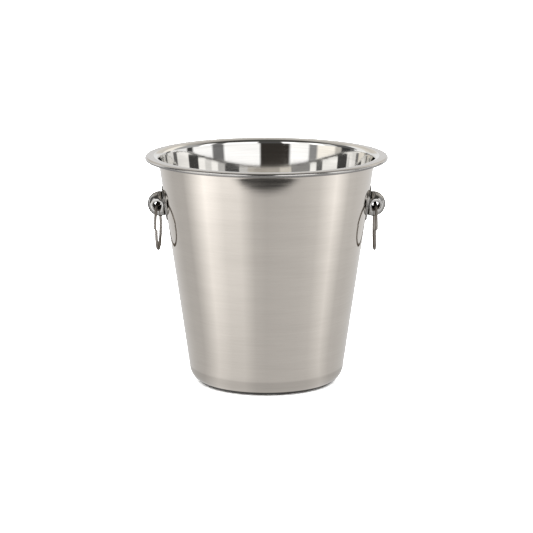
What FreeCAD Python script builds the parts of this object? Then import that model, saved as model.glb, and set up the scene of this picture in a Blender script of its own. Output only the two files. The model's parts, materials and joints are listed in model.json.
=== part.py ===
import FreeCAD, Part
import math
import os
import re

import Sketcher

# A champagne bucket in stainless sheet, with a ring handle on each side. Millimetres and degrees.
# The origin is the centre of the base, on the surface it stands on. +Z is up. The handles are at +X and -X.

DIMENSIONS = (
    ("rim_diameter", 215.0, "over the rolled edge"),
    ("bucket_height", 204.0, "base to the top of the rim"),
    ("sheet_thickness", 0.7, "of the shell"),
    ("wall_base_radius", 67.1, "outer wall, carried down to the surface it stands on"),
    ("wall_angle", 8.14, "lean of the wall from upright"),
    ("corner_radius", 15.0, "outside, between base and wall"),
    ("panel_radius", 43.0, "raised middle of the base"),
    ("panel_rise", 1.2, "of that panel above the surface"),
    ("panel_step", 2.4, "width of the slope round the panel"),
    ("rim_bend_radius", 4.0, "underside of the bend from wall to flange"),
    ("rim_roll_radius", 1.9, "outside of the rolled edge"),
    ("handle_height", 160.8, "where a stud's axis meets the outer wall"),
    ("stud_diameter", 4.0, "M4"),
    ("stud_hole_diameter", 4.4, "in the shell and the backplate"),
    ("stud_grip", 1.9, "length of stud inside the knob"),
    ("stud_tail", 4.0, "length of stud inside the nut"),
    ("plate_diameter", 31.0, "backplate"),
    ("plate_thickness", 1.0, "backplate"),
    ("knob_diameter", 22.4, "ball"),
    ("knob_stand", 3.4, "ball centre above the backplate"),
    ("eye_diameter", 6.4, "cross hole for the ring"),
    ("eye_offset", 1.9, "cross hole beyond the ball centre"),
    ("eye_rounding", 1.8, "at the mouths of the cross hole"),
    ("ring_diameter", 43.6, "outside"),
    ("ring_wire", 2.8, "wire"),
    ("ring_lift", 0.6, "top of the ring's centre line above the eye's axis"),
    ("ring_offset", 1.1, "sideways, between the two ends of the wire"),
    ("ring_gap", 0.5, "between the two ends of the wire"),
    ("left_ring_yaw", 3.5, "left ring's turn about the upright"),
    ("seal_diameter", 12.0, "rubber washer"),
    ("seal_thickness", 1.7, "rubber washer at its middle"),
    ("washer_diameter", 10.0, "steel washer"),
    ("washer_thickness", 0.8, "steel washer"),
    ("washer_bore", 4.3, "steel and rubber washers"),
    ("nut_flats", 7.0, "across the flats"),
    ("nut_hex_height", 3.2, "hexagon"),
    ("nut_dome_radius", 3.3, "dome"),
    ("nut_bore_depth", 4.4, "blind thread"),
)
SIDES = {"right": 1, "left": -1}
TOOL_LENGTH = 40.0  # of the cutting cylinders, longer than anything they pass through
CUT_LENGTH = 8.0  # of the stud holes' cuts, well past the sheet on both sides
CONE_TOP = 220.0  # height of the cones that follow the wall, above the rim
BLANK_REACH = 4.0  # half the length of a plate's blank, in plate thicknesses
HEXAGON = 6
EDGE_SAMPLES = 9  # points looked at along an edge
TOUCHING = 0.001  # two places closer than this are one
EDGES_PER_FACE = 8  # of the shell's section, on each face of the sheet, in this order
PANEL, SLOPE, FLAT, CORNER, WALL, BEND, FLANGE, ROLL = range(EDGES_PER_FACE)


def vector(x=0.0, y=0.0, z=0.0):
    return FreeCAD.Vector(x, y, z)


def make_sheet(doc):
    """Fills the spreadsheet of driving dimensions and returns them as a dictionary too."""
    sheet = doc.addObject("Spreadsheet::Sheet", "Dimensions")
    for row, (alias, value, note) in enumerate(DIMENSIONS, start=1):
        sheet.set(f"A{row}", alias)
        sheet.set(f"B{row}", str(value))
        sheet.set(f"C{row}", note)
        sheet.setAlias(f"B{row}", alias)
    doc.recompute()
    return {alias: float(sheet.get(alias)) for alias, _, _ in DIMENSIONS}


def bind(thing, **expressions):
    """Binds properties to expressions in which a bare dimension name is a cell of the sheet."""
    for prop, expression in expressions.items():
        thing.setExpression(prop, sheet_expression(expression))


def sheet_expression(text):
    """Every alias has an underscore in it, and nothing else in an expression has."""
    return re.sub(r"\b[a-z]+(?:_[a-z]+)+\b", r"Dimensions.\g<0>", text)


# ---------------------------------------------------------------- bodies and sketches


def make_body(doc, name):
    body = doc.addObject("PartDesign::Body", name)
    body.Label = name
    return body


def make_sketch(body, name, role):
    """A sketch of the body on the origin plane that has this role."""
    plane = next(f for f in body.Origin.OriginFeatures if f.Role == role)
    sketch = body.newObject("Sketcher::SketchObject", name)
    sketch.AttachmentSupport = [(plane, "")]
    sketch.MapMode = "FlatFace"
    return sketch


def constrain(sketch, *arguments, name=None, expression=None):
    """Adds a constraint, and binds it to an expression when it has one."""
    index = sketch.addConstraint(Sketcher.Constraint(*arguments))
    if name:
        sketch.renameConstraint(index, name)
        sketch.setExpression(f"Constraints.{name}", sheet_expression(expression))
    return index


def line(start, end):
    return Part.LineSegment(vector(*start), vector(*end))


def arc(centre, radius, start_degrees, end_degrees):
    """Anticlockwise from the first angle to the second."""
    circle = Part.Circle(vector(*centre), vector(z=1), radius)
    return Part.ArcOfCircle(circle, math.radians(start_degrees), math.radians(end_degrees))


def circle_sketch(body, name, role, radius, across="0", up="0", near=(0.0, 0.0, 1.0)):
    """A circle whose radius and centre are expressions; near is about where it lies, and its size."""
    sketch = make_sketch(body, name, role)
    sketch.addGeometry(Part.Circle(vector(near[0], near[1]), vector(z=1), near[2]))
    constrain(sketch, "Radius", 0, near[2], name="radius", expression=radius)
    for kind, place, expression, reference in (
        ("DistanceX", near[0], across, "across"),
        ("DistanceY", near[1], up, "up"),
    ):
        if place:
            constrain(sketch, kind, -1, 1, 0, 3, place, name=reference, expression=expression)
        else:
            constrain(sketch, "PointOnObject", 0, 3, -2 if kind == "DistanceX" else -1)
    return sketch


def add_feature(body, kind, name, profile, **properties):
    feature = body.newObject(f"PartDesign::{kind}", name)
    feature.Profile = profile
    for prop, value in properties.items():
        setattr(feature, prop, value)
    return feature


def revolve(body, kind, name, profile):
    return add_feature(body, kind, name, profile, ReferenceAxis=(profile, ["V_Axis"]), Angle=360.0)


# ---------------------------------------------------------------- bucket shell


def shell_section(body, size):
    """The sheet's section: outside from the base's centre to the rolled edge, and back on the inside."""
    lean = math.radians(size["wall_angle"])
    sheet, corner = size["sheet_thickness"], size["corner_radius"]
    bend, roll = size["rim_bend_radius"], size["rim_roll_radius"]
    rise, panel, step = size["panel_rise"], size["panel_radius"], size["panel_step"]
    foot = size["wall_base_radius"] + corner * (math.tan(lean) - 1.0 / math.cos(lean))
    top = size["bucket_height"]
    bend_height = top - sheet - bend
    bend_centre = (
        size["wall_base_radius"] + bend_height * math.tan(lean) + bend / math.cos(lean),
        bend_height,
    )
    roll_centre = (size["rim_diameter"] / 2.0 - roll, top - roll)

    def wall_point(centre, radius):
        return (centre[0] + radius * math.cos(lean), centre[1] - radius * math.sin(lean))

    def side(inset):
        """Edges of one face of the sheet, inset by 0 outside and by the sheet's thickness inside."""
        angle = size["wall_angle"]
        return (
            line((0, rise + inset), (panel, rise + inset)),
            line((panel, rise + inset), (panel + step, inset)),
            line((panel + step, inset), (foot, inset)),
            arc((foot, corner), corner - inset, -90.0, -angle),
            line(wall_point((foot, corner), corner - inset), wall_point(bend_centre, -bend - inset)),
            arc(bend_centre, bend + inset, 90.0, 180.0 - angle),
            line(
                (bend_centre[0], bend_height + bend + inset),
                (roll_centre[0], bend_height + bend + inset),
            ),
            arc(roll_centre, roll - sheet + inset, 180.0, 450.0),
        )

    sketch = make_sketch(body, "Section", "XZ_Plane")
    outside, inside = side(0.0), side(sheet)
    sketch.addGeometry(list(outside) + list(inside))
    mouth = sketch.addGeometry(
        line((roll_centre[0] - roll + sheet, roll_centre[1]), (roll_centre[0] - roll, roll_centre[1]))
    )
    axis = sketch.addGeometry(line((0, rise), (0, rise + sheet)))
    for first in (0, EDGES_PER_FACE):
        constrain_side(sketch, first)
    for bent in (CORNER, BEND, ROLL):
        constrain(sketch, "Coincident", bent, 3, bent + EDGES_PER_FACE, 3)
    constrain(sketch, "Coincident", mouth, 1, ROLL, 1)
    constrain(sketch, "Coincident", mouth, 2, ROLL + EDGES_PER_FACE, 1)
    constrain(sketch, "Coincident", axis, 1, PANEL, 1)
    constrain(sketch, "Coincident", axis, 2, PANEL + EDGES_PER_FACE, 1)
    constrain(sketch, "Horizontal", mouth)
    constrain(sketch, "Horizontal", ROLL, 1, ROLL, 3)
    constrain(sketch, "PointOnObject", PANEL, 1, -2)
    constrain(sketch, "Vertical", axis)
    constrain(sketch, "PointOnObject", FLAT, 1, -1)
    dimension_section(sketch, size, foot)
    return sketch


def constrain_side(sketch, first):
    """Joins the eight edges of one face of the sheet; tangent wherever the sheet bends smoothly."""
    panel, slope, flat, corner, wall, bend, flange, roll = range(first, first + EDGES_PER_FACE)
    constrain(sketch, "Coincident", panel, 2, slope, 1)
    constrain(sketch, "Coincident", slope, 2, flat, 1)
    constrain(sketch, "Tangent", flat, 2, corner, 1)
    constrain(sketch, "Tangent", corner, 2, wall, 1)
    constrain(sketch, "Tangent", wall, 2, bend, 2)
    constrain(sketch, "Tangent", bend, 1, flange, 1)
    constrain(sketch, "Tangent", flange, 2, roll, 2)
    for level in (panel, flat, flange):
        constrain(sketch, "Horizontal", level)


def dimension_section(sketch, size, foot):
    """The section's sizes, all bound to the sheet."""
    inner_panel, inner_slope = PANEL + EDGES_PER_FACE, SLOPE + EDGES_PER_FACE
    inner_corner, inner_bend = CORNER + EDGES_PER_FACE, BEND + EDGES_PER_FACE
    sheet = size["sheet_thickness"]
    corner, bend, roll = size["corner_radius"], size["rim_bend_radius"], size["rim_roll_radius"]
    radii = (
        ("corner_out", CORNER, corner, "corner_radius"),
        ("corner_in", inner_corner, corner - sheet, "corner_radius - sheet_thickness"),
        ("bend_under", BEND, bend, "rim_bend_radius"),
        ("bend_over", inner_bend, bend + sheet, "rim_bend_radius + sheet_thickness"),
        ("roll_in", ROLL, roll - sheet, "rim_roll_radius - sheet_thickness"),
    )
    for name, edge, value, expression in radii:
        constrain(sketch, "Radius", edge, value, name=name, expression=expression)
    foot_expression = "wall_base_radius + corner_radius * (tan(wall_angle) - 1 / cos(wall_angle))"
    rise, panel = size["panel_rise"], size["panel_radius"]
    slope_foot = panel + size["panel_step"]
    across, up = size["rim_diameter"] / 2 - roll, size["bucket_height"] - roll
    places = (
        ("foot", "DistanceX", CORNER, 3, foot, foot_expression),
        ("roll_across", "DistanceX", ROLL, 3, across, "rim_diameter / 2 - rim_roll_radius"),
        ("roll_up", "DistanceY", ROLL, 3, up, "bucket_height - rim_roll_radius"),
        ("panel_edge", "DistanceX", PANEL, 2, panel, "panel_radius"),
        ("panel_up", "DistanceY", PANEL, 2, rise, "panel_rise"),
        ("panel_top", "DistanceY", inner_panel, 2, rise + sheet, "panel_rise + sheet_thickness"),
        ("slope_foot", "DistanceX", SLOPE, 2, slope_foot, "panel_radius + panel_step"),
    )
    for name, kind, edge, point, value, expression in places:
        constrain(sketch, kind, -1, 1, edge, point, value, name=name, expression=expression)
    lean = math.radians(size["wall_angle"])
    constrain(sketch, "Angle", -2, 1, WALL, 1, -lean, name="lean", expression="-wall_angle * 1 deg")
    constrain(sketch, "DistanceX", PANEL, 2, inner_panel, 2, 0.0)
    constrain(sketch, "DistanceX", SLOPE, 2, inner_slope, 2, 0.0)


def make_shell(doc, size):
    """One drawn shell, with a stud hole square to the wall on each side."""
    body = make_body(doc, "bucket_shell")
    section = shell_section(body, size)
    shell = revolve(body, "Revolution", "Shell", section)
    doc.recompute()
    whole = shell.Shape.Volume
    hole = circle_sketch(
        body, "StudHole", "YZ_Plane", "stud_hole_diameter / 2", near=(0, 0, size["stud_hole_diameter"] / 2)
    )
    hole.AttachmentOffset = FreeCAD.Placement(vector(), FreeCAD.Rotation(vector(x=1), size["wall_angle"]))
    hole.setExpression("AttachmentOffset.Rotation.Angle", sheet_expression("wall_angle"))
    hole.setExpression("AttachmentOffset.Base.y", sheet_expression("handle_height"))
    hole.setExpression(
        "AttachmentOffset.Base.z",
        sheet_expression("wall_base_radius + handle_height * tan(wall_angle)"),
    )
    pocket = add_feature(body, "Pocket", "StudPocket", hole, Midplane=True, Length=CUT_LENGTH)
    mirrored = body.newObject("PartDesign::Mirrored", "BothStudHoles")
    mirrored.Originals = [pocket]
    mirrored.MirrorPlane = (next(f for f in body.Origin.OriginFeatures if f.Role == "YZ_Plane"), [""])
    body.Tip = mirrored
    doc.recompute()
    if body.Shape.Volume >= whole:
        raise RuntimeError("the stud holes cut nothing")
    return body


# ---------------------------------------------------------------- handle hardware


def handle_frame(size, side):
    """Where a handle's stud meets the outer wall: local +Z is outwards, square to the wall; +X is up it."""
    lean = math.radians(size["wall_angle"])
    radius = size["wall_base_radius"] + size["handle_height"] * math.tan(lean)
    outwards = vector(side * math.cos(lean), 0, -math.sin(lean))
    up = vector(side * math.sin(lean), 0, math.cos(lean))
    turn = FreeCAD.Rotation(up, outwards.cross(up), outwards, "ZXY")
    return FreeCAD.Placement(vector(side * radius, 0, size["handle_height"]), turn)


def along(distance):
    return FreeCAD.Placement(vector(z=distance), FreeCAD.Rotation())


def make_cone(doc, name, outset):
    """A solid cone whose surface lies a distance outside the outer wall; a negative one lies inside it."""
    cone = doc.addObject("Part::Cone", name)
    radius = f"wall_base_radius + ({outset}) / cos(wall_angle)"
    bind(cone, Radius1=radius, Radius2=f"{radius} + {CONE_TOP} * tan(wall_angle)")
    cone.Height = CONE_TOP
    return cone


def make_cylinder(doc, name, placement, radius, height):
    cylinder = doc.addObject("Part::Cylinder", name)
    bind(cylinder, Radius=radius, Height=height)
    cylinder.Placement = placement
    return cylinder


def combine(doc, kind, label, base, tool):
    result = doc.addObject(f"Part::{kind}", label)
    result.Base = base
    result.Tool = tool
    result.Label = label
    return result


def bore_tool(doc, name, frame, diameter):
    placement = frame.multiply(along(-TOOL_LENGTH / 2))
    return make_cylinder(doc, name, placement, f"{diameter} / 2", str(TOOL_LENGTH))


def make_backplate(doc, size, side, frame, cones):
    """A round plate, curved to lie flat on the wall."""
    start = frame.multiply(along(-BLANK_REACH * size["plate_thickness"]))
    length = f"{2 * BLANK_REACH} * plate_thickness"
    blank = make_cylinder(doc, f"{side}_plate_blank", start, "plate_diameter / 2", length)
    curved = combine(doc, "Common", f"{side}_plate_outer", blank, cones["plate"])
    plate = combine(doc, "Cut", f"{side}_plate_curved", curved, cones["wall"])
    bore = bore_tool(doc, f"{side}_plate_bore", frame, "stud_hole_diameter")
    return combine(doc, "Cut", f"{side}_backplate", plate, bore)


def make_knob(doc, size, side, frame, cones):
    """A ball with a cross hole for the ring and a blind hole for the stud, seated on the backplate."""
    body = make_body(doc, f"{side}_ball")
    centre, radius = size["plate_thickness"] + size["knob_stand"], size["knob_diameter"] / 2
    profile = make_sketch(body, "BallProfile", "XZ_Plane")
    profile.addGeometry(arc((0, centre), radius, -90.0, 90.0))
    profile.addGeometry(line((0, centre + radius), (0, centre - radius)))
    constrain(profile, "Coincident", 0, 2, 1, 1)
    constrain(profile, "Coincident", 0, 1, 1, 2)
    constrain(profile, "PointOnObject", 0, 3, -2)
    constrain(profile, "Vertical", 1)
    constrain(profile, "Radius", 0, radius, name="radius", expression="knob_diameter / 2")
    constrain(
        profile, "DistanceY", -1, 1, 0, 3, centre, name="stand", expression="plate_thickness + knob_stand"
    )
    revolve(body, "Revolution", "Ball", profile)
    eye_height = centre + size["eye_offset"]
    eye = circle_sketch(
        body, "EyeProfile", "XZ_Plane", "eye_diameter / 2",
        up="plate_thickness + knob_stand + eye_offset", near=(0, eye_height, size["eye_diameter"] / 2),
    )
    pocket = add_feature(body, "Pocket", "Eye", eye, Type="ThroughAll", Midplane=True)
    doc.recompute()
    rounding = body.newObject("PartDesign::Fillet", "EyeMouths")
    rounding.Base = (pocket, mouth_edges(pocket.Shape, radius, vector(z=centre)))
    bind(rounding, Radius="eye_rounding")
    drill = circle_sketch(
        body, "StudProfile", "XY_Plane", "stud_diameter / 2", near=(0, 0, size["stud_diameter"] / 2)
    )
    blind = add_feature(body, "Pocket", "StudSocket", drill, Reversed=True)
    bind(blind, Length="plate_thickness + stud_grip")
    body.Placement = frame
    doc.recompute()
    return combine(doc, "Cut", f"{side}_knob", body, cones["plate"])


def mouth_edges(shape, radius, centre):
    """Names of the edges where the cross hole comes out through the ball's surface."""
    names = []
    for number, edge in enumerate(shape.Edges, start=1):
        if edge.Degenerated:
            continue
        points = edge.discretize(EDGE_SAMPLES)
        on_ball = all(abs((point - centre).Length - radius) < TOUCHING for point in points)
        beside = all(abs(point.y) > radius / 2 for point in points)
        if on_ball and beside:
            names.append(f"Edge{number}")
    return names


def make_stud(doc, size, side, frame):
    """A plain-modelled M4 stud, from inside the knob to inside the cap nut."""
    body = make_body(doc, f"{side}_stud")
    profile = circle_sketch(
        body, "StudSection", "XY_Plane", "stud_diameter / 2", near=(0, 0, size["stud_diameter"] / 2)
    )
    pad = add_feature(body, "Pad", "Stud", profile)
    bind(
        pad,
        Length="stud_grip + plate_thickness + sheet_thickness"
        " + seal_thickness + washer_thickness + stud_tail",
    )
    end = size["plate_thickness"] + size["stud_grip"]
    pad.Reversed = True
    body.Placement = frame.multiply(along(end))
    return body


def make_seal(doc, size, side, frame, cones):
    """A rubber washer: flat towards the nut, and curved to the inside of the wall."""
    depth = size["sheet_thickness"] + size["seal_thickness"]
    blank = make_cylinder(
        doc, f"{side}_seal_blank", frame.multiply(along(-depth)), "seal_diameter / 2", "2 * seal_thickness"
    )
    curved = combine(doc, "Common", f"{side}_seal_curved", blank, cones["lining"])
    bore = bore_tool(doc, f"{side}_seal_bore", frame, "washer_bore")
    return combine(doc, "Cut", f"{side}_seal_washer", curved, bore)


def make_washer(doc, size, side, frame):
    body = make_body(doc, f"{side}_flat_washer")
    outline = make_sketch(body, "WasherSection", "XY_Plane")
    radii = (
        ("rim", size["washer_diameter"], "washer_diameter"),
        ("bore", size["washer_bore"], "washer_bore"),
    )
    for name, diameter, alias in radii:
        circle = outline.addGeometry(Part.Circle(vector(), vector(z=1), diameter / 2))
        constrain(outline, "Coincident", circle, 3, -1, 1)
        constrain(outline, "Radius", circle, diameter / 2, name=name, expression=f"{alias} / 2")
    pad = add_feature(body, "Pad", "Washer", outline, Reversed=True)
    bind(pad, Length="washer_thickness")
    body.Placement = frame.multiply(along(-size["sheet_thickness"] - size["seal_thickness"]))
    return body


def make_cap_nut(doc, size, side, frame):
    """A low cap nut: hexagon with chamfered corners under a dome, with a blind bore from its seat."""
    body = make_body(doc, f"{side}_dome_nut")
    flats, height = size["nut_flats"], size["nut_hex_height"]
    corner = flats / math.sqrt(3)
    outline = make_sketch(body, "HexSection", "XY_Plane")
    turns = [2 * math.pi / HEXAGON * number for number in range(HEXAGON)]
    corners = [(corner * math.cos(turn), corner * math.sin(turn)) for turn in turns]
    for number in range(HEXAGON):
        outline.addGeometry(line(corners[number], corners[(number + 1) % HEXAGON]))
    round_corners = outline.addGeometry(Part.Circle(vector(), vector(z=1), corner), True)
    for number in range(HEXAGON):
        constrain(outline, "Coincident", number, 2, (number + 1) % HEXAGON, 1)
        constrain(outline, "PointOnObject", number, 1, round_corners)
        if number:
            constrain(outline, "Equal", 0, number)
    constrain(outline, "Coincident", round_corners, 3, -1, 1)
    constrain(outline, "PointOnObject", 0, 1, -1)
    constrain(outline, "Radius", round_corners, corner, name="corner", expression="nut_flats / sqrt(3)")
    hexagon = add_feature(body, "Pad", "Hexagon", outline)
    bind(hexagon, Length="nut_hex_height")
    dome = make_sketch(body, "DomeProfile", "XZ_Plane")
    radius = size["nut_dome_radius"]
    dome.addGeometry(
        [
            arc((0, height), radius, 0.0, 90.0),
            line((0, height + radius), (0, height)),
            line((0, height), (radius, height)),
        ]
    )
    for first, second in ((0, 1), (1, 2)):
        constrain(dome, "Coincident", first, 2, second, 1)
    constrain(dome, "Coincident", 2, 2, 0, 1)
    constrain(dome, "Coincident", 0, 3, 2, 1)
    constrain(dome, "PointOnObject", 1, 1, -2)
    constrain(dome, "Horizontal", 2)
    constrain(dome, "PointOnObject", 2, 1, -2)
    constrain(dome, "Radius", 0, radius, name="radius", expression="nut_dome_radius")
    constrain(dome, "DistanceY", -1, 1, 2, 1, height, name="hex", expression="nut_hex_height")
    revolve(body, "Revolution", "Dome", dome)
    thread = circle_sketch(
        body, "ThreadProfile", "XY_Plane", "stud_diameter / 2", near=(0, 0, size["stud_diameter"] / 2)
    )
    bore = add_feature(body, "Pocket", "Thread", thread, Reversed=True)
    bind(bore, Length="nut_bore_depth")
    seat = size["sheet_thickness"] + size["seal_thickness"] + size["washer_thickness"]
    inwards = FreeCAD.Placement(vector(z=-seat), FreeCAD.Rotation(vector(x=1), 180))
    body.Placement = frame.multiply(inwards)
    return body


def eye_centre(size, side):
    """The middle of a knob's cross hole, which the ring swings about."""
    reach = size["plate_thickness"] + size["knob_stand"] + size["eye_offset"]
    return handle_frame(size, side).multVec(vector(z=reach))


def make_ring(doc, size, side_name, side):
    """One turn of round wire, hung through the eye, its two ends meeting a little out of line in front."""
    body = make_body(doc, f"{side_name}_ring")
    wire, pitch = size["ring_wire"] / 2, size["ring_offset"]
    radius = size["ring_diameter"] / 2 - wire
    section = circle_sketch(
        body, "WireSection", "XZ_Plane", "ring_wire / 2",
        across="(ring_diameter - ring_wire) / 2", up="-ring_offset / 2", near=(radius, -pitch / 2, wire),
    )
    turn = body.newObject("PartDesign::AdditiveHelix", "Turn")
    turn.Profile = section
    turn.ReferenceAxis = (section, ["V_Axis"])
    turn.Mode = "pitch-turns-angle"
    turn.LeftHanded = side < 0
    bind(turn, Pitch="ring_offset", Turns="1 - ring_gap / (pi * (ring_diameter - ring_wire))")
    centre = eye_centre(size, side) + vector(z=size["ring_lift"] - radius)
    facing = FreeCAD.Rotation(vector(y=-1), vector(z=-side), vector(x=side), "ZXY")
    yaw = FreeCAD.Rotation(vector(z=1), -size["left_ring_yaw"] if side < 0 else 0.0)
    body.Placement = FreeCAD.Placement(centre, yaw.multiply(facing))
    return body


# ---------------------------------------------------------------- assembly


def build(doc):
    size = make_sheet(doc)
    nodes = [make_shell(doc, size)]
    cones = {
        "wall": make_cone(doc, "WallCone", "0"),
        "plate": make_cone(doc, "PlateCone", "plate_thickness"),
        "lining": make_cone(doc, "LiningCone", "-sheet_thickness"),
    }
    for side_name, side in SIDES.items():
        frame = handle_frame(size, side)
        nodes += [
            make_backplate(doc, size, side_name, frame, cones),
            make_knob(doc, size, side_name, frame, cones),
            make_ring(doc, size, side_name, side),
            make_stud(doc, size, side_name, frame),
            make_seal(doc, size, side_name, frame, cones),
            make_washer(doc, size, side_name, frame),
            make_cap_nut(doc, size, side_name, frame),
        ]
    doc.recompute()
    return nodes


def check(doc, nodes):
    """Stops before anything is written if an object failed or a sub-part has no sound shape."""
    for thing in doc.Objects:
        if {"Invalid", "Error"} & set(thing.State):
            raise RuntimeError(f"{thing.Label} failed: {thing.State}")
    for node in nodes:
        if node.Shape.isNull() or not node.Shape.isValid() or len(node.Shape.Solids) != 1:
            raise RuntimeError(f"{node.Label} has no sound solid")


def main():
    doc = FreeCAD.newDocument("ChampagneBucket")
    nodes = build(doc)
    check(doc, nodes)
    os.makedirs("parts", exist_ok=True)
    for node in nodes:
        node.Shape.exportStep(f"parts/{node.Label}.step")
        print(f"{node.Label:20s} {node.Shape.Volume:10.1f} mm3")


main()
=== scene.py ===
import json
import math

import bmesh
import bpy
from mathutils import Matrix, Vector


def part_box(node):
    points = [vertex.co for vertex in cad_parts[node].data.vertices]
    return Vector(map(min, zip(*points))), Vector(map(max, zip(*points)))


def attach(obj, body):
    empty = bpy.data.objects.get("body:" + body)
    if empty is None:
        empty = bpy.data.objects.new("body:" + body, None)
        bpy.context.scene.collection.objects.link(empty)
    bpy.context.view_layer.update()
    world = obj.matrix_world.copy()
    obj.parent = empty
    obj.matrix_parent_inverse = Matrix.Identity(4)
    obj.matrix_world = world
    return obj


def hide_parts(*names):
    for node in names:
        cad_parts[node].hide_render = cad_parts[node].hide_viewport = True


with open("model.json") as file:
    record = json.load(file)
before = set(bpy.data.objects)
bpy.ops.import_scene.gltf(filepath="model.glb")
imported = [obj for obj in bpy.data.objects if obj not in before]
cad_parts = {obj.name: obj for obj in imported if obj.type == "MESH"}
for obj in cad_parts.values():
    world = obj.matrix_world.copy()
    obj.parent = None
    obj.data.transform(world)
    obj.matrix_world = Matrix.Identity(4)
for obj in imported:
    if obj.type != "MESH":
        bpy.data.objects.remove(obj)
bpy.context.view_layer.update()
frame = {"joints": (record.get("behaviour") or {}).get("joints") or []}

# Champagne bucket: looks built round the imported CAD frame. Metres; base centre at the origin, +Z up,
# handles at +X and -X, camera towards +Y. Every CAD node is replaced by a finer mesh of the same piece.

MM = 0.001
CLEARANCE = 0.01 * MM  # between hidden faces that would otherwise coincide

# ---------------------------------------------------------------- sizes

RIM_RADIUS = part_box("bucket_shell")[1].x
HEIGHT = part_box("bucket_shell")[1].z
SHEET = 0.7 * MM
WALL_BASE_RADIUS = 67.1 * MM  # outer wall carried down to the floor
LEAN = math.radians(8.14)
CORNER_RADIUS = 15.0 * MM
PANEL_RADIUS = 43.0 * MM
PANEL_RISE = 1.2 * MM
PANEL_STEP = 2.4 * MM
BEND_RADIUS = 4.0 * MM
ROLL_RADIUS = 1.9 * MM
HANDLE_HEIGHT = 160.8 * MM
STUD_RADIUS = 2.0 * MM
STUD_PITCH = 0.7 * MM
STUD_HOLE_RADIUS = 2.2 * MM
STUD_GRIP = 1.9 * MM
STUD_TAIL = 4.0 * MM
PLATE_RADIUS = 15.5 * MM
PLATE_THICKNESS = 1.0 * MM
BALL_RADIUS = (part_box("left_knob")[1].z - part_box("left_knob")[0].z) / 2
BALL_STAND = 3.4 * MM
EYE_RADIUS = 3.2 * MM
EYE_OFFSET = 1.9 * MM
EYE_ROUNDING = 1.8 * MM
WIRE_RADIUS = 1.4 * MM
RING_RADIUS = 20.4 * MM
RING_LIFT = 0.6 * MM
RING_OFFSET = 1.1 * MM
VISIBLE_GAP = 0.25 * MM
RING_YAW = {"left": math.radians(-3.5), "right": 0.0}
SEAL_RADIUS = 6.0 * MM
SEAL_THICKNESS = 1.7 * MM
WASHER_RADIUS = 5.0 * MM
WASHER_THICKNESS = 0.8 * MM
WASHER_BORE_RADIUS = 2.15 * MM
NUT_FLATS = 7.0 * MM
NUT_HEX_HEIGHT = 3.2 * MM
NUT_DOME_RADIUS = 3.3 * MM
NUT_BORE_DEPTH = 4.4 * MM
TURN = 2 * math.pi


def wall_radius(height, outset=0.0):
    """Radius of the cone an outset outside the outer wall, at a height."""
    return WALL_BASE_RADIUS + height * math.tan(LEAN) + outset / math.cos(LEAN)


# ---------------------------------------------------------------- camera and studio

CAMERA_DISTANCE = 2.0
CAMERA_ELEVATION = math.radians(11.6)
CAMERA_AIM = Vector((0, 0, 0.103))
LENS = 151.3


def make_camera():
    data = bpy.data.cameras.new("camera")
    data.lens = LENS
    camera = bpy.data.objects.new("camera", data)
    bpy.context.scene.collection.objects.link(camera)
    back = Vector((0, -math.cos(CAMERA_ELEVATION), math.sin(CAMERA_ELEVATION)))
    camera.location = CAMERA_AIM + back * CAMERA_DISTANCE
    camera.rotation_mode = "QUATERNION"
    camera.rotation_quaternion = (-back).to_track_quat("-Z", "Y")
    bpy.context.scene.camera = camera


class Nodes:
    """A short way to build a node tree: make() adds a node, sets its inputs and returns it."""

    def __init__(self, tree):
        self.tree = tree
        tree.nodes.clear()

    def make(self, kind, inputs=None, **properties):
        node = self.tree.nodes.new(kind)
        for name, value in properties.items():
            setattr(node, name, value)
        for key, value in (inputs or {}).items():
            if isinstance(value, bpy.types.NodeSocket):
                self.tree.links.new(value, node.inputs[key])
            else:
                node.inputs[key].default_value = value
        return node

    def math(self, operation, *values, clamp=False):
        node = self.make("ShaderNodeMath", dict(enumerate(values)), operation=operation, use_clamp=clamp)
        return node.outputs[0]

    def vector(self, operation, *values):
        return self.make("ShaderNodeVectorMath", dict(enumerate(values)), operation=operation).outputs[0]

    def ramp(self, factor, stops):
        """Colour ramp; stops are (position, grey or colour)."""
        node = self.make("ShaderNodeValToRGB", {"Fac": factor})
        elements = node.color_ramp.elements
        while len(elements) > 1:
            elements.remove(elements[-1])
        for number, (position, value) in enumerate(stops):
            element = elements[0] if number == 0 else elements.new(position)
            element.position = position
            colour = value if isinstance(value, tuple) else (value, value, value)
            element.color = (*colour, 1)
        return node.outputs["Color"]

    def mix(self, factor, first, second, blend="MIX"):
        node = self.make("ShaderNodeMix", data_type="RGBA", blend_type=blend)
        for socket, value in ((0, factor), (6, first), (7, second)):
            if isinstance(value, bpy.types.NodeSocket):
                self.tree.links.new(value, node.inputs[socket])
            else:
                node.inputs[socket].default_value = (*value, 1) if isinstance(value, tuple) else value
        return node.outputs[2]


# Studio bands: (azimuth, brightness from there to the next), degrees from the camera's side, positive to +X.
# Worked out from the brightness that the photo's lining shows.
LOW_BANDS = (
    (-180, 0.9), (-136, 1.2), (-111, 0.2), (-104, 0.06), (-90, (0.67, 0.64, 0.59)), (-81, (1.34, 1.28, 1.18)),
    (-58, 0.35), (-48, 1.4), (-26, (0.044, 0.039, 0.034)), (7, 1.4), (48, 0.22), (62, 1.3), (88, 0.07),
    (97, 1.1), (128, 0.12), (138, 0.9),
)
HIGH_BANDS = (
    (-180, (0.73, 0.69, 0.63)), (-152, (0.88, 0.84, 0.77)), (-138, 1.05), (-118, 0.14), (-85, 0.9),
    (-68, 1.8), (-52, 1.3), (-36, 1.8), (-18, 0.1), (10, 1.7), (50, 0.25), (65, 1.8), (80, 0.5),
    (124, (1.20, 1.15, 1.06)), (150, (0.78, 0.74, 0.68)),
)
BAND_EDGE = 2.5 / 360
WORLD_STRENGTH = 1.0
WHITE = (1.0, 1.0, 1.0)
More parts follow.
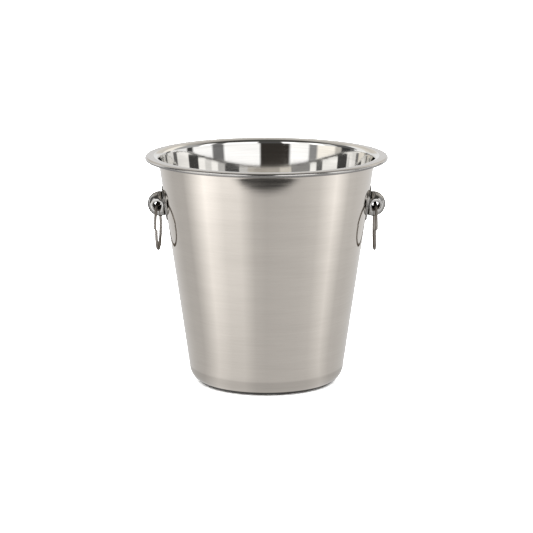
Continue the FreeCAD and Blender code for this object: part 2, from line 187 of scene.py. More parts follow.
CEILING_FRONT = (0.08, 0.077, 0.072)
CEILING_BACK = (0.58, 0.555, 0.52)
CEILING_SPLIT = (0.05, 0.30)
FLOOR_TO_LOW = (-0.04, 0.02)
LOW_TO_HIGH = (0.16, 0.24)
HIGH_TO_CEILING = (0.60, 0.72)


def band_stops(bands):
    """Ramp stops with short soft edges between one band and the next."""
    stops = []
    for number, (azimuth, value) in enumerate(bands):
        position = azimuth / 360 + 0.5
        if number:
            stops.append((position - BAND_EDGE / 2, bands[number - 1][1]))
            stops.append((position + BAND_EDGE / 2, value))
        else:
            stops.append((position, value))
    return stops


# What the steel mirrors of the table: brightness at azimuths, in between them a straight blend. The list
# began as another program's readings of the photo and was retuned since.
TABLE_GLOW = (
    (-180, 0.85), (-150, 0.80), (-125, 0.66), (-104, 0.68), (-94, 0.95), (-73, 1.72), (-62, 1.58),
    (-50, 1.34), (-31, 1.30), (-14, 0.80), (0, 0.70), (42, 0.80), (60, 0.92), (83, 1.44), (104, 0.84),
    (118, 0.78), (140, 0.82), (180, 0.85),
)


def glow_stops():
    return [(azimuth / 360 + 0.5, value) for azimuth, value in TABLE_GLOW]


def make_world():
    """Soft boxes and dark gaps, a ceiling dimmer in front, and plain white where the camera looks."""
    world = bpy.data.worlds.new("studio")
    world.use_nodes = True
    bpy.context.scene.world = world
    nodes = Nodes(world.node_tree)
    direction = nodes.make("ShaderNodeTexCoord").outputs["Generated"]
    parts = nodes.make("ShaderNodeSeparateXYZ", {0: direction}).outputs
    azimuth = nodes.math("ARCTAN2", parts["X"], nodes.math("MULTIPLY", parts["Y"], -1.0))
    around = nodes.math("MULTIPLY_ADD", azimuth, 1 / TURN, 0.5)
    light = nodes.ramp(around, glow_stops())
    back = nodes.make("ShaderNodeMapRange", {0: parts["Y"], 1: CEILING_SPLIT[0], 2: CEILING_SPLIT[1]})
    for edges, above in (
        (FLOOR_TO_LOW, nodes.ramp(around, band_stops(LOW_BANDS))),
        (LOW_TO_HIGH, nodes.ramp(around, band_stops(HIGH_BANDS))),
        (HIGH_TO_CEILING, nodes.mix(back.outputs[0], CEILING_FRONT, CEILING_BACK)),
    ):
        rise = nodes.make(
            "ShaderNodeMapRange", {0: parts["Z"], 1: edges[0], 2: edges[1]}, interpolation_type="SMOOTHSTEP"
        )
        light = nodes.mix(rise.outputs[0], light, above)
    seen = nodes.make("ShaderNodeLightPath").outputs["Is Camera Ray"]
    lit = nodes.make("ShaderNodeBackground", {"Color": light, "Strength": WORLD_STRENGTH})
    plain = nodes.make("ShaderNodeBackground", {"Color": (*WHITE, 1), "Strength": 1.0})
    both = nodes.make("ShaderNodeMixShader", {0: seen, 1: lit.outputs[0], 2: plain.outputs[0]})
    nodes.make("ShaderNodeOutputWorld", {"Surface": both.outputs[0]})


FLOOR_SIZE = 60.0
FLOOR_COLOUR = (0.86, 0.86, 0.86)
FLOOR_ROUGHNESS = 0.9
SUN_STRENGTH = 14.0
SUN_SPREAD = math.radians(120)


def make_floor():
    """A white floor; the steel mirrors the glowing table instead of it."""
    half = FLOOR_SIZE / 2
    mesh = bpy.data.meshes.new("floor")
    corners = [(-half, -half, 0), (half, -half, 0), (half, half, 0), (-half, half, 0)]
    mesh.from_pydata(corners, [], [(0, 1, 2, 3)])
    floor = bpy.data.objects.new("floor", mesh)
    bpy.context.scene.collection.objects.link(floor)
    material = bpy.data.materials.new("floor_white")
    material.use_nodes = True
    nodes = Nodes(material.node_tree)
    look = {"Base Color": (*FLOOR_COLOUR, 1), "Roughness": FLOOR_ROUGHNESS}
    paper = nodes.make("ShaderNodeBsdfPrincipled", look)
    nodes.make("ShaderNodeOutputMaterial", {"Surface": paper.outputs[0]})
    mesh.materials.append(material)
    floor.visible_glossy = False


def make_sun():
    """Even soft light from overhead for the floor; the steel doesn't mirror it."""
    data = bpy.data.lights.new("overhead", "SUN")
    data.energy = SUN_STRENGTH
    data.angle = SUN_SPREAD
    light = bpy.data.objects.new("overhead", data)
    bpy.context.scene.collection.objects.link(light)
    light.visible_camera = False
    light.visible_glossy = False


TABLE_RADIUS = 1.2
TABLE_SIDES = 96
TABLE_DROP = 0.0002
TABLE_PLAIN = 0.67  # brightness close to the bucket
TABLE_SKEW = 0.045  # how fast the bands turn near the bucket, in metres
BANDS_GROW = ((0.08, 0.30), (0.19, 0.48), (0.26, 0.60), (0.40, 0.75), (0.52, 1.0))  # (distance, bands' share)
CONTACT = (  # (distance, share of the light) round the foot
    (0.050, 0.10), (0.0612, 0.10), (0.0625, 0.88), (0.0655, 0.88), (0.067, 0.84), (0.090, 0.84), (0.093, 1.0),
)
CONTACT_REACH = 0.2
CARD_START = (0.470, 0.484)
CARD_END = (0.66, 0.53)
CARD_HALF_WIDTH = (40.0, 24.0)  # degrees: where the black card starts and is whole
CARD_BOW = 0.060
CARD_DARK = 0.05


def distance_ramp(nodes, distance, stops, reach):
    return nodes.ramp(nodes.math("DIVIDE", distance, reach), [(at / reach, value) for at, value in stops])


def make_table():
    """What the steel mirrors below it: a glowing table with light bands, a dark foot line and a black card.

    It lies just under the white floor and is seen in reflections only.
    """
    mesh = bpy.data.meshes.new("mirrored_table")
    ring = [TURN * step / TABLE_SIDES for step in range(TABLE_SIDES)]
    edge = [(TABLE_RADIUS * math.cos(turn), TABLE_RADIUS * math.sin(turn), -TABLE_DROP) for turn in ring]
    mesh.from_pydata(edge, [], [tuple(range(TABLE_SIDES))])
    table = bpy.data.objects.new("mirrored_table", mesh)
    bpy.context.scene.collection.objects.link(table)
    material = bpy.data.materials.new("table_glow")
    material.use_nodes = True
    nodes = Nodes(material.node_tree)
    position = nodes.make("ShaderNodeTexCoord").outputs["Object"]
    parts = nodes.make("ShaderNodeSeparateXYZ", {0: position}).outputs
    distance = nodes.make("ShaderNodeVectorMath", {0: position}, operation="LENGTH").outputs["Value"]
    azimuth = nodes.math("ARCTAN2", parts["X"], nodes.math("MULTIPLY", parts["Y"], -1.0))
    skew = nodes.math("ADD", nodes.math("DIVIDE", TABLE_SKEW, distance), 1.0)
    skewed = nodes.math("MULTIPLY", azimuth, skew)
    bands = nodes.ramp(nodes.math("MULTIPLY_ADD", skewed, 1 / TURN, 0.5, clamp=True), glow_stops())
    share = distance_ramp(nodes, distance, BANDS_GROW, TABLE_RADIUS)
    glow = nodes.mix(share, (TABLE_PLAIN,) * 3, bands)
    foot = distance_ramp(nodes, distance, CONTACT, CONTACT_REACH)
    lit = nodes.mix(1.0, glow, foot, "MULTIPLY")
    aside = nodes.math("ABSOLUTE", nodes.math("MULTIPLY", azimuth, 180 / math.pi))
    across = nodes.math("DIVIDE", aside, CARD_HALF_WIDTH[0])
    bow = nodes.math("MULTIPLY", nodes.math("POWER", across, 2.0), CARD_BOW)
    bowed = nodes.math("SUBTRACT", distance, bow)
    beyond = nodes.make("ShaderNodeMapRange", {0: bowed, 1: CARD_START[0], 2: CARD_START[1]})
    short_of = nodes.make("ShaderNodeMapRange", {0: bowed, 1: CARD_END[0], 2: CARD_END[1]})
    inside = nodes.make("ShaderNodeMapRange", {0: aside, 1: CARD_HALF_WIDTH[0], 2: CARD_HALF_WIDTH[1]})
    strip = nodes.math("MULTIPLY", beyond.outputs[0], short_of.outputs[0])
    card = nodes.math("MULTIPLY", strip, inside.outputs[0])
    seen = nodes.mix(card, lit, (CARD_DARK,) * 3)
    glowing = nodes.make("ShaderNodeEmission", {"Color": seen, "Strength": 1.0})
    nodes.make("ShaderNodeOutputMaterial", {"Surface": glowing.outputs[0]})
    mesh.materials.append(material)
    table.visible_camera = False
    table.visible_diffuse = False
    table.visible_shadow = False


# ---------------------------------------------------------------- materials


def round_coordinates(nodes, along, across):
    """Coordinates that vary slowly round the Z axis and fast up it, with no seam."""
    position = nodes.make("ShaderNodeTexCoord").outputs["Object"]
    parts = nodes.make("ShaderNodeSeparateXYZ", {0: position}).outputs
    flat = nodes.make("ShaderNodeCombineXYZ", {0: parts["X"], 1: parts["Y"], 2: 0.0}).outputs[0]
    ring = nodes.vector("NORMALIZE", flat)
    heading = nodes.make("ShaderNodeSeparateXYZ", {0: ring}).outputs
    return nodes.make(
        "ShaderNodeCombineXYZ",
        {
            0: nodes.math("MULTIPLY", heading["X"], along),
            1: nodes.math("MULTIPLY", heading["Y"], along),
            2: nodes.math("MULTIPLY", parts["Z"], across),
        },
    ).outputs[0]


NOISE_LOW = 0.3  # most of a noise texture's values lie between these two
NOISE_HIGH = 0.7


def noise(nodes, vector, scale=1.0, detail=2.0, roughness=0.5):
    node = nodes.make(
        "ShaderNodeTexNoise", {"Vector": vector, "Scale": scale, "Detail": detail, "Roughness": roughness}
    )
    return node.outputs[0]


def remap(nodes, value, low, high):
    node = nodes.make("ShaderNodeMapRange", {0: value, 1: NOISE_LOW, 2: NOISE_HIGH, 3: low, 4: high})
    return node.outputs[0]


def new_material(name):
    material = bpy.data.materials.new(name)
    material.use_nodes = True
    return material, Nodes(material.node_tree)


def finish_material(nodes, inputs):
    shader = nodes.make("ShaderNodeBsdfPrincipled", inputs)
    nodes.make("ShaderNodeOutputMaterial", {"Surface": shader.outputs[0]})


FINE_LINES = 2600.0  # noise cells for each metre up the wall
MEDIUM_LINES = 620.0
BROAD_LINES = 95.0
MEDIUM_ALONG = 0.6  # of the fine lines' cells round the bucket
BROAD_ALONG = 1.3
BRUSH_RELIEF = 0.00002
BUFFING_RELIEF = 0.00001
BUFFING_FINER = 9  # times the haze's scale


def round_brushed(name, dark, light, roughness, anisotropy, streaks, bump):
    """Steel brushed round the Z axis: roughness is its least and most; fewer streaks make longer lines."""
    material, nodes = new_material(name)
    fine = noise(nodes, round_coordinates(nodes, streaks, FINE_LINES), detail=3.0)
    medium = noise(nodes, round_coordinates(nodes, streaks * MEDIUM_ALONG, MEDIUM_LINES), detail=2.0)
    broad = noise(nodes, round_coordinates(nodes, BROAD_ALONG, BROAD_LINES), detail=1.0)
    grain = nodes.math("ADD", nodes.math("MULTIPLY", fine, 0.5), nodes.math("MULTIPLY", medium, 0.5))
    tone = nodes.math("ADD", nodes.math("MULTIPLY", grain, 0.6), nodes.math("MULTIPLY", broad, 0.4))
    colour = nodes.mix(remap(nodes, tone, 0.0, 1.0), dark, light)
    relief = nodes.make("ShaderNodeBump", {"Height": grain, "Distance": BRUSH_RELIEF, "Strength": bump})
    tangent = nodes.make("ShaderNodeTangent", direction_type="RADIAL", axis="Z")
    finish_material(
        nodes,
        {
            "Base Color": colour,
            "Metallic": 1.0,
            "Roughness": remap(nodes, grain, roughness[0], roughness[1]),
            "Anisotropic": anisotropy,
            "Anisotropic Rotation": 0.25,
            "Normal": relief.outputs[0],
            "Tangent": tangent.outputs[0],
        },
    )
    return material


EDGE_TINT = (0.08, 0.077, 0.073, 1.0)


def polished(name, dark, light, roughness, scale, bump):
    """Polished steel with faint buffing marks; it goes darker where it turns away."""
    material, nodes = new_material(name)
    position = nodes.make("ShaderNodeTexCoord").outputs["Object"]
    haze = noise(nodes, position, scale=scale, detail=4.0, roughness=0.6)
    marks = noise(nodes, position, scale=scale * BUFFING_FINER, detail=2.0)
    colour = nodes.mix(remap(nodes, haze, 0.0, 1.0), dark, light)
    relief = nodes.make("ShaderNodeBump", {"Height": marks, "Distance": BUFFING_RELIEF, "Strength": bump})
    finish_material(
        nodes,
        {
            "Base Color": colour,
            "Metallic": 1.0,
            "Roughness": remap(nodes, haze, roughness[0], roughness[1]),
            "Specular Tint": EDGE_TINT,
            "Normal": relief.outputs[0],
        },
    )
    return material


def rubber():
    material, nodes = new_material("seal_rubber")
    position = nodes.make("ShaderNodeTexCoord").outputs["Object"]
    speckle = noise(nodes, position, scale=1800.0, detail=3.0)
    colour = nodes.mix(remap(nodes, speckle, 0.0, 1.0), (0.018, 0.018, 0.02), (0.045, 0.044, 0.044))
    relief = nodes.make("ShaderNodeBump", {"Height": speckle, "Distance": 0.00005, "Strength": 0.5})
    finish_material(
        nodes,
        {
            "Base Color": colour,
            "Roughness": remap(nodes, speckle, 0.55, 0.8),
            "Normal": relief.outputs[0],
        },
    )
    return material


# Brushed: name, dark, light, roughness, anisotropy, streaks, bump.
# Polished: name, dark, light, roughness, scale, bump.
MATERIALS = {
    "satin": round_brushed(
        "satin_steel", (0.578, 0.537, 0.489), (0.634, 0.590, 0.538), (0.035, 0.075), 0.7, 4.0, 0.13
    ),
    "mirror": round_brushed(
        "lining_steel", (0.62, 0.61, 0.59), (0.80, 0.79, 0.77), (0.025, 0.060), 0.85, 3.0, 0.10
    ),
    "rim": round_brushed(
        "rim_steel", (0.47, 0.455, 0.44), (0.55, 0.535, 0.52), (0.14, 0.24), 0.6, 4.0, 0.25
    ),
    # The rim's steel made much darker for the tucked edge: painted shade under the rolled edge.
    "shaded_tuck": round_brushed(
        "tuck_painted_shade_steel", (0.25, 0.24, 0.23), (0.32, 0.31, 0.30), (0.14, 0.24), 0.6, 4.0, 0.25
    ),
    "bright": polished(
        "polished_steel", (0.47, 0.46, 0.445), (0.54, 0.53, 0.515), (0.03, 0.09), 160.0, 0.10
    ),
    "plate": polished("plate_steel", (0.30, 0.29, 0.28), (0.38, 0.37, 0.355), (0.08, 0.16), 200.0, 0.15),
    # Near-black steel for the eye: painted shade inside the hole's bore and lip.
    "eye": polished("eye_painted_shade_steel", (0.07, 0.066, 0.062), (0.12, 0.115, 0.11), (0.35, 0.50), 400.0, 0.3),
    "wire": polished("wire_steel", (0.32, 0.297, 0.275), (0.42, 0.39, 0.36), (0.42, 0.55), 300.0, 0.25),
    "hardware": polished("hardware_steel", (0.55, 0.54, 0.53), (0.66, 0.65, 0.64), (0.12, 0.28), 500.0, 0.3),
    "rubber": rubber(),
}

# ---------------------------------------------------------------- mesh tools


SHARP_ANGLE = 40.0  # degrees, above which an edge isn't smoothed
AXIS_TOLERANCE = 1e-9


def add_piece(name, vertices, faces, material, body, nodes, sharp=SHARP_ANGLE):
    """Makes the mesh a piece that rides on a body and stands for CAD nodes."""
    mesh = bpy.data.meshes.new(name)
    mesh.from_pydata([tuple(v) for v in vertices], [], faces)
    mesh.materials.append(MATERIALS[material])
    mesh.polygons.foreach_set("use_smooth", [True] * len(mesh.polygons))
    mesh.set_sharp_from_angle(angle=math.radians(sharp))
    piece = bpy.data.objects.new(name, mesh)
    bpy.context.scene.collection.objects.link(piece)
    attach(piece, body)
    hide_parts(*nodes)
    return piece


def grid_faces(rows, columns, wrap_rows=True, wrap_columns=True):
    """Quads of a grid of rows by columns of points, numbered row by row."""
    faces = []
    for row in range(rows if wrap_rows else rows - 1):
        for column in range(columns if wrap_columns else columns - 1):
            next_row, next_column = (row + 1) % rows, (column + 1) % columns
            faces.append(
                (
                    row * columns + column,
                    row * columns + next_column,
                    next_row * columns + next_column,
                    next_row * columns + column,
                )
            )
    return faces


def revolve(profile, steps):
    """Turns a closed or axis-to-axis profile of (radius, height) about Z.

    Returns the vertices, the faces, and for each face the profile point that it starts from.
    """
    on_axis = [index for index, (radius, _) in enumerate(profile) if radius < AXIS_TOLERANCE]
    vertices, start = [], []
    for radius, height in profile:
        start.append(len(vertices))
        if radius < AXIS_TOLERANCE:
            vertices.append((0.0, 0.0, height))
            continue
        for step in range(steps):
            turn = TURN * step / steps
            vertices.append((radius * math.cos(turn), radius * math.sin(turn), height))
    faces, source = [], []
    count = len(profile)
    for index in range(count):
        after = (index + 1) % count
        if index in on_axis and after in on_axis:
            continue
        for step in range(steps):
            further = (step + 1) % steps
            if index in on_axis:
                faces.append((start[index], start[after] + further, start[after] + step))
            elif after in on_axis:
                faces.append((start[index] + step, start[index] + further, start[after]))
            else:
                faces.append(
                    (
                        start[index] + step,
                        start[index] + further,
                        start[after] + further,
                        start[after] + step,
                    )
                )
            source.append(index)
    return vertices, faces, source


def arc_points(centre, radius, first, last, steps):
    """Points of an arc in the (radius, height) plane, angles in degrees, ends included."""
    turns = [math.radians(first + (last - first) * step / steps) for step in range(steps + 1)]
    return [(centre[0] + radius * math.cos(turn), centre[1] + radius * math.sin(turn)) for turn in turns]


def line_points(first, last, steps):
    """Points between two ends, leaving both ends out."""
    return [
        (first[0] + (last[0] - first[0]) * step / steps, first[1] + (last[1] - first[1]) * step / steps)
        for step in range(1, steps)
    ]


def place(vertices, matrix):
    return [matrix @ Vector(vertex) for vertex in vertices]


# ---------------------------------------------------------------- bucket shell

SHELL_STEPS = 384
SLOPE_ROWS = 3
CORNER_ROWS = 24
WALL_ROWS = 60
BEND_ROWS = 16
FLANGE_ROWS = 4
ROLL_ROWS = 12
TUCK_ROWS = 24


def shell_side(inset):
    """One face of the sheet from the axis to the end of the rolled edge, as (finish, points)."""
    foot = WALL_BASE_RADIUS + CORNER_RADIUS * (math.tan(LEAN) - 1 / math.cos(LEAN))
    bend_height = HEIGHT - SHEET - BEND_RADIUS
    bend_centre = (wall_radius(bend_height, BEND_RADIUS), bend_height)
    roll_centre = (RIM_RADIUS - ROLL_RADIUS, HEIGHT - ROLL_RADIUS)
    lean = math.degrees(LEAN)
    panel = [(0.0, PANEL_RISE + inset), (PANEL_RADIUS, PANEL_RISE + inset)]
    step = [(PANEL_RADIUS + PANEL_STEP, inset)]
    corner = arc_points((foot, CORNER_RADIUS), CORNER_RADIUS - inset, -90, -lean, CORNER_ROWS)
    bend = arc_points(bend_centre, BEND_RADIUS + inset, 180 - lean, 90, BEND_ROWS)
    wall = line_points(corner[-1], bend[0], WALL_ROWS)
    roll = arc_points(roll_centre, ROLL_RADIUS - SHEET + inset, 90, 0, ROLL_ROWS)
    # The underside of the roll, which gets the darker steel as painted shade.
    shaded_tuck = arc_points(roll_centre, ROLL_RADIUS - SHEET + inset, 0, -180, TUCK_ROWS)[1:]
    flange = line_points(bend[-1], roll[0], FLANGE_ROWS)
    return (
        ("wall", panel + line_points(panel[-1], step[0], SLOPE_ROWS) + step + corner + wall),
        ("bend", bend),
        ("flange", flange + roll),
        ("shaded_tuck", shaded_tuck),
    )


def make_shell():
    """The shell in one closed mesh: satin outside, brushed flange, painted shade on the tucked edge, polished
    lining.
    """
    # For each stretch, the material's number outside and inside, in the order they are added below.
    # The tucked edge takes the darker steel: painted shade under the roll.
    finishes = {"wall": (0, 2), "bend": (0, 2), "flange": (1, 1), "shaded_tuck": (3, 3)}
    profile, kinds = [], []
    for side, inset in enumerate((0.0, SHEET)):
        points, marks = [], []
        for name, stretch in shell_side(inset):
            points += stretch
            marks += [finishes[name][side]] * len(stretch)
        if side:
            points.reverse()
            marks.reverse()
        profile += points
        kinds += marks
    vertices, faces, source = revolve(profile, SHELL_STEPS)
    shell = add_piece(
        "bucket_shell_sheet", vertices, faces, "satin", "bucket", ["bucket_shell"]
    )
    for material in ("rim", "mirror", "shaded_tuck"):
        shell.data.materials.append(MATERIALS[material])
    shell.data.polygons.foreach_set("material_index", [kinds[index] for index in source])


# ---------------------------------------------------------------- handles


def handle_matrix(side):
    """Where a handle's stud meets the outer wall: local Z is outwards, square to the wall; X is up it."""
    outwards = Vector((side * math.cos(LEAN), 0, -math.sin(LEAN)))
    up = Vector((side * math.sin(LEAN), 0, math.cos(LEAN)))
    beside = outwards.cross(up)
    turn = Matrix((up, beside, outwards)).transposed().to_4x4()
    return Matrix.Translation((side * wall_radius(HANDLE_HEIGHT), 0, HANDLE_HEIGHT)) @ turn


SETTLING_STEPS = 6


def drop_on_wall(matrix, x, y, outset):
    """Local Z of the point over (x, y) of a handle's frame that lies an outset outside the wall."""
    depth = outset
    for _ in range(SETTLING_STEPS):
        point = matrix @ Vector((x, y, depth))
        gap = math.hypot(point.x, point.y) - wall_radius(point.z, outset)
        depth -= gap * math.cos(LEAN)
    return depth


PLATE_STEPS = 128
PLATE_ROWS = 14
PLATE_EDGE_ROWS = 6
PLATE_EDGE = 0.35 * MM
PLATE_BACK_EDGE = 0.1 * MM
PLATE_BACK_RISE = 0.12 * MM


def make_backplate(name, matrix):
    """A round plate with rounded edges, curved to lie on the wall."""
    width = PLATE_RADIUS - PLATE_EDGE - STUD_HOLE_RADIUS
    radii = [STUD_HOLE_RADIUS + width * k / PLATE_ROWS for k in range(PLATE_ROWS + 1)]
    quarter = [math.radians(90 / PLATE_EDGE_ROWS * k) for k in range(1, PLATE_EDGE_ROWS + 1)]
    profile = [(radius, PLATE_THICKNESS) for radius in radii]
    profile += [
        (
            PLATE_RADIUS - PLATE_EDGE * (1 - math.sin(turn)),
            PLATE_THICKNESS - PLATE_EDGE * (1 - math.cos(turn)),
        )
        for turn in quarter
    ]
    profile += [(PLATE_RADIUS, PLATE_BACK_RISE), (PLATE_RADIUS - PLATE_BACK_EDGE, CLEARANCE)]
    profile += [(radius, CLEARANCE) for radius in reversed(radii)]
    vertices = []
    for radius, outset in profile:
        for step in range(PLATE_STEPS):
            turn = TURN * step / PLATE_STEPS
            x, y = radius * math.cos(turn), radius * math.sin(turn)
            vertices.append(matrix @ Vector((x, y, drop_on_wall(matrix, x, y, outset))))
    faces = grid_faces(len(profile), PLATE_STEPS)
    add_piece(
        f"{name}_backplate_disc", vertices, faces, "plate", "bucket", [f"{name}_backplate"]
    )


BALL_STEPS = 144
BALL_ROWS = 40
BORE_ROWS = 10
LIP_ROWS = 12
EYE_SHADE_ROWS = 15  # of the eye's bore and the inner part of its lip, painted near-black as shade in the hole


def ball_profile(turn):
    """Half of the section at a turn about the eye's axis: (distance from the axis, distance along it)."""
    shift = -EYE_OFFSET * math.cos(turn)
    section = math.sqrt(BALL_RADIUS**2 - (EYE_OFFSET * math.sin(turn)) ** 2)
    lip = EYE_RADIUS + EYE_ROUNDING
    lip_height = math.sqrt((section - EYE_ROUNDING) ** 2 - (lip - shift) ** 2)
    tangent = math.atan2(lip_height, lip - shift)
    points = [(EYE_RADIUS, lip_height * k / BORE_ROWS) for k in range(BORE_ROWS)]
    for k in range(LIP_ROWS + 1):
        angle = math.pi + (tangent - math.pi) * k / LIP_ROWS
        points.append((lip + EYE_ROUNDING * math.cos(angle), lip_height + EYE_ROUNDING * math.sin(angle)))
    for k in range(1, BALL_ROWS + 1):
        angle = tangent * (1 - k / BALL_ROWS)
        points.append((shift + section * math.cos(angle), section * math.sin(angle)))
    return points


def make_ball(name, matrix):
    """The knob: a ball with a round-lipped eye through it, cut to sit on the backplate."""
    vertices, rows = [], 0
    for step in range(BALL_STEPS):
        turn = TURN * step / BALL_STEPS
        half = ball_profile(turn)
        whole = half + [(radius, -along) for radius, along in reversed(half[1:-1])]
        rows = len(whole)
        for radius, along in whole:
            local = Vector((radius * math.sin(turn), along, radius * math.cos(turn)))
            local.z += PLATE_THICKNESS + BALL_STAND + EYE_OFFSET
            vertices.append(matrix @ local)
    faces = grid_faces(BALL_STEPS, rows)
    ball = add_piece(
        f"{name}_knob_ball", vertices, faces, "bright", "bucket", [f"{name}_knob"]
    )
    ball.data.materials.append(MATERIALS["eye"])
    # The bore's and inner lip's rows take the near-black steel: painted shade in the hole.
    dark = [row % rows < EYE_SHADE_ROWS or row % rows >= rows - EYE_SHADE_ROWS for row in range(len(faces))]
    ball.data.polygons.foreach_set("material_index", [int(value) for value in dark])
    cut_seat(ball, matrix)


SEAT_STEPS = 48
SEAT_REACH = 13.0 * MM
SEAT_DEPTH = 14.0 * MM


def cut_seat(ball, matrix):
    """Cuts away what would lie inside the backplate's outer face."""
    vertices = []
    for row in range(SEAT_STEPS + 1):
        for column in range(SEAT_STEPS + 1):
            x = SEAT_REACH * (2 * row / SEAT_STEPS - 1)
            y = SEAT_REACH * (2 * column / SEAT_STEPS - 1)
            vertices.append((x, y, drop_on_wall(matrix, x, y, PLATE_THICKNESS + CLEARANCE)))
    count = SEAT_STEPS + 1
    top = grid_faces(count, count, False, False)
    vertices += [(x, y, -SEAT_DEPTH) for x, y, _ in vertices]
    base = count * count
    bottom = [tuple(base + index for index in reversed(face)) for face in top]
    border = (
        [row * count for row in range(count)]
        + [SEAT_STEPS * count + column for column in range(1, count)]
        + [row * count + SEAT_STEPS for row in range(SEAT_STEPS - 1, -1, -1)]
        + [column for column in range(SEAT_STEPS - 1, 0, -1)]
    )
    sides = [
        (border[k], border[(k + 1) % len(border)], base + border[(k + 1) % len(border)], base + border[k])
        for k in range(len(border))
    ]
    subtract(ball, place(vertices, matrix), top + bottom + sides)


def subtract(piece, vertices, faces):
    """Cuts a closed solid out of a piece's mesh."""
    mesh = bpy.data.meshes.new("cutter")
    mesh.from_pydata([tuple(v) for v in vertices], [], faces)
    cutter = bpy.data.objects.new("cutter", mesh)
    bpy.context.scene.collection.objects.link(cutter)
    make_normals_outwards(mesh)
    make_normals_outwards(piece.data)
    cut = piece.modifiers.new("cut", "BOOLEAN")
    cut.operation = "DIFFERENCE"
    cut.solver = "EXACT"
    cut.object = cutter
    bpy.context.view_layer.update()
    result = bpy.data.meshes.new_from_object(piece.evaluated_get(bpy.context.evaluated_depsgraph_get()))
    piece.modifiers.clear()
    piece.data = result
    bpy.data.objects.remove(cutter)
    result.polygons.foreach_set("use_smooth", [True] * len(result.polygons))
    result.set_sharp_from_angle(angle=math.radians(SHARP_ANGLE))


def make_normals_outwards(mesh):
    work = bmesh.new()
    work.from_mesh(mesh)
    bmesh.ops.recalc_face_normals(work, faces=work.faces)
    work.to_mesh(mesh)
    work.free()


WIRE_STEPS = 32
RING_ROWS = 260
WIRE_END_ROUNDING = 0.15 * MM
RING_SHARP = 50.0


def make_ring(name, side):
    """One turn of round wire through the eye; its two ends meet slightly out of line at the front."""
    joint = next(j for j in frame["joints"] if j["child"] == f"{name}_ring_body")
    centre = Vector(joint["pos_m"]) + Vector((0, 0, RING_LIFT - RING_RADIUS))
    arc = TURN - VISIBLE_GAP / RING_RADIUS
    vertices = []
    length = arc * RING_RADIUS
    stations = [(0.0, WIRE_RADIUS - WIRE_END_ROUNDING)]
    stations += [
        (WIRE_END_ROUNDING * (1 - math.cos(t)), WIRE_RADIUS - WIRE_END_ROUNDING * (1 - math.sin(t)))
        for t in (math.radians(30), math.radians(60), math.radians(90))
    ]
    body_rows = [
        (WIRE_END_ROUNDING + (length - 2 * WIRE_END_ROUNDING) * k / RING_ROWS, WIRE_RADIUS)
        for k in range(1, RING_ROWS)
    ]
    rows = stations + body_rows + [(length - s, r) for s, r in reversed(stations)]
    yaw = Matrix.Rotation(RING_YAW[name], 4, "Z")
    for run, radius in rows:
        share = run / length
        turn = arc * share
        outward = Vector((0, -math.cos(turn), -math.sin(turn)))
        middle = outward * RING_RADIUS + Vector((side * RING_OFFSET * (share - 0.5), 0, 0))
        for step in range(WIRE_STEPS):
            around = TURN * step / WIRE_STEPS
            point = middle + radius * (outward * math.cos(around) + Vector((math.sin(around), 0, 0)))
            vertices.append(centre + yaw @ point)
    faces = grid_faces(len(rows), WIRE_STEPS, wrap_rows=False)
    last = (len(rows) - 1) * WIRE_STEPS
    faces.append(tuple(reversed(range(WIRE_STEPS))))
    faces.append(tuple(last + step for step in range(WIRE_STEPS)))
    piece = add_piece(
        f"{name}_ring_wire", vertices, faces, "wire", f"{name}_ring_body", [f"{name}_ring"],
        RING_SHARP,
    )
    make_normals_outwards(piece.data)


THREAD_DEPTH = 0.38 * MM
THREAD_CREST = 1.25  # above 1 flattens the crests
STUD_STEPS = 36
ROWS_PER_PITCH = 10
STUD_POINT = 0.6 * MM
POINT_SHARE = 0.4  # of the thread's height left at the stud's ends


def make_stud(name, matrix):
    """M4 threaded rod from inside the knob to inside the cap nut."""
    bottom = -(SHEET + SEAL_THICKNESS + WASHER_THICKNESS + STUD_TAIL)
    top = PLATE_THICKNESS + STUD_GRIP
    rows = int((top - bottom) / STUD_PITCH * ROWS_PER_PITCH)
    vertices = []
    for row in range(rows + 1):
        height = bottom + (top - bottom) * row / rows
        taper = min(1.0, (height - bottom) / STUD_POINT, (top - height) / STUD_POINT)
        fullness = POINT_SHARE + (1 - POINT_SHARE) * taper
        for step in range(STUD_STEPS):
            turn = TURN * step / STUD_STEPS
            phase = (height / STUD_PITCH - step / STUD_STEPS) % 1.0
            ridge = 1 - abs(2 * phase - 1)
            radius = STUD_RADIUS - THREAD_DEPTH * (1 - min(1.0, THREAD_CREST * ridge) * fullness)
            vertices.append(matrix @ Vector((radius * math.cos(turn), radius * math.sin(turn), height)))
    faces = grid_faces(rows + 1, STUD_STEPS, wrap_rows=False)
    last = rows * STUD_STEPS
    faces.append(tuple(reversed(range(STUD_STEPS))))
    faces.append(tuple(last + step for step in range(STUD_STEPS)))
    add_piece(
        f"{name}_stud_thread", vertices, faces, "hardware", "bucket", [f"{name}_stud"]
    )


WASHER_STEPS = 64
SEAL_ROWS = 6
SEAL_EDGE = 0.3 * MM
SEAL_SOFTNESS = 0.3  # of the edge's width, how far its middle point is drawn in
SEAL_SHARP = 60.0


